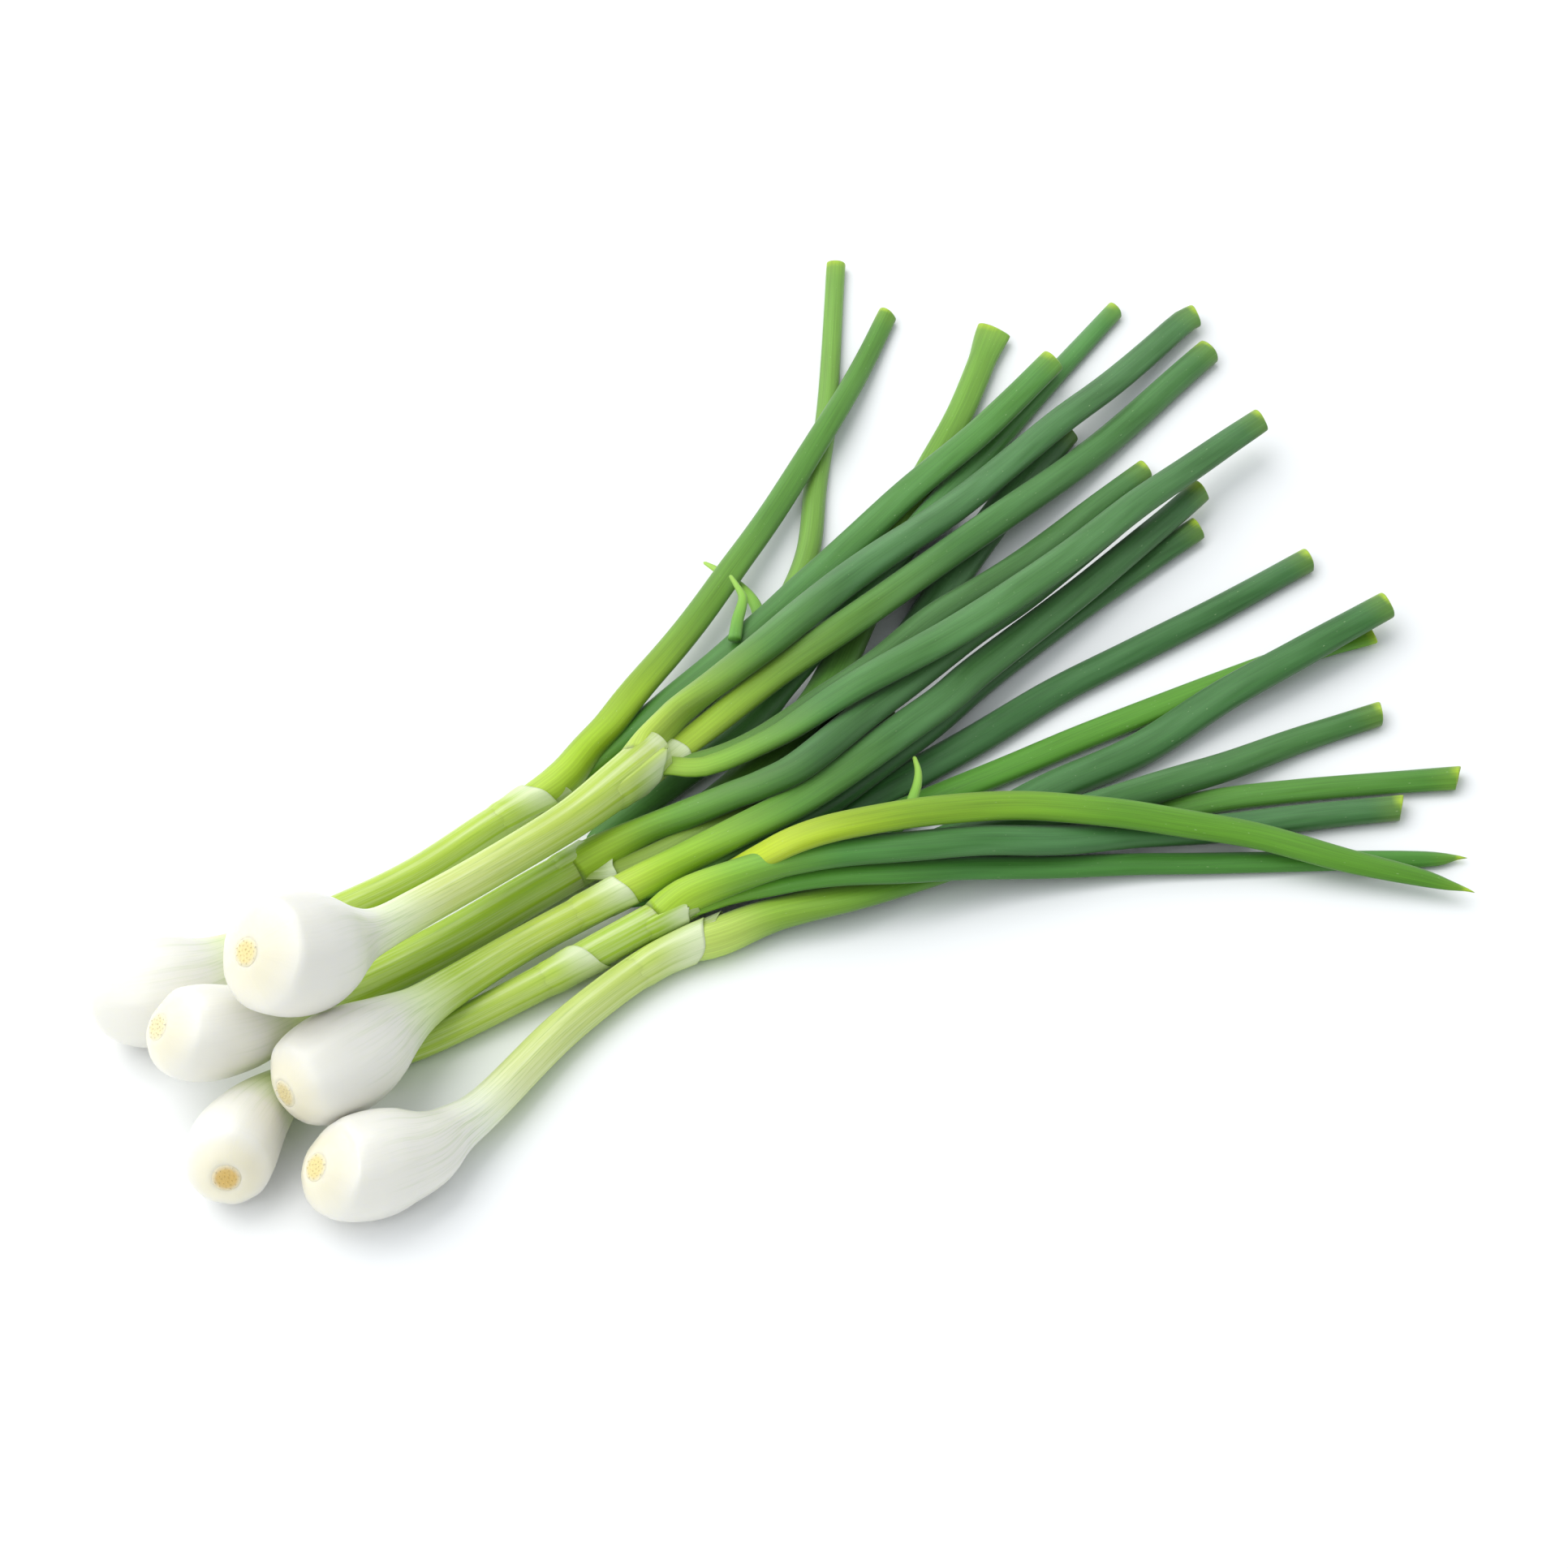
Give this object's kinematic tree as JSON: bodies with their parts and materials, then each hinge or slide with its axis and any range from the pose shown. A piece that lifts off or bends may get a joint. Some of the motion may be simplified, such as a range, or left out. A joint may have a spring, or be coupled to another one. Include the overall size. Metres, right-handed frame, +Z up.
{
  "type": "spring onion bunch",
  "caption": "Loose bunch of spring onions lying on a table: white bulbs with clipped roots, pale stalks and a fan of hollow green leaves with cut tips.",
  "frame": {"origin": "the flat spot under the front bulb, on the surface that the bunch lies on", "axes": "+X along the bunch from the roots to the leaf tips, +Z up, +Y to the left of the bunch seen from the roots"},
  "size_m": [0.3521, 0.2638, 0.0532],
  "materials": {
    "bulb_and_stalk": "satin",
    "root_plate": "matte",
    "leaf_dark": "satin",
    "leaf_green": "satin",
    "leaf_light": "satin",
    "leaf_yellow": "satin"
  },
  "bodies": {
    "root": {"stalk_a": "bulb_and_stalk", "roots_a": "root_plate", "stalk_b": "bulb_and_stalk", "roots_b": "root_plate", "stalk_c": "bulb_and_stalk", "roots_c": "root_plate", "stalk_d": "bulb_and_stalk", "roots_d": "root_plate", "stalk_e": "bulb_and_stalk", "roots_e": "root_plate", "stalk_f": "bulb_and_stalk", "roots_f": "root_plate", "leaf_a1": "leaf_dark", "leaf_a2": "leaf_green", "leaf_a3": "leaf_dark", "leaf_a4": "leaf_green", "leaf_b1": "leaf_light", "leaf_b2": "leaf_green", "leaf_b3": "leaf_light", "leaf_c1": "leaf_dark", "leaf_c2": "leaf_dark", "leaf_c3": "leaf_light", "leaf_c4": "leaf_green", "leaf_d1": "leaf_dark", "leaf_d2": "leaf_dark", "leaf_d3": "leaf_dark", "leaf_d4": "leaf_dark", "leaf_e1": "leaf_dark", "leaf_e2": "leaf_green", "leaf_e3": "leaf_green", "leaf_e4": "leaf_green", "leaf_e5": "leaf_yellow", "leaf_f1": "leaf_green", "leaf_f2": "leaf_dark", "shoot_1": "leaf_light", "shoot_2": "leaf_light", "shoot_3": "leaf_light"}
  },
  "joints": []
}
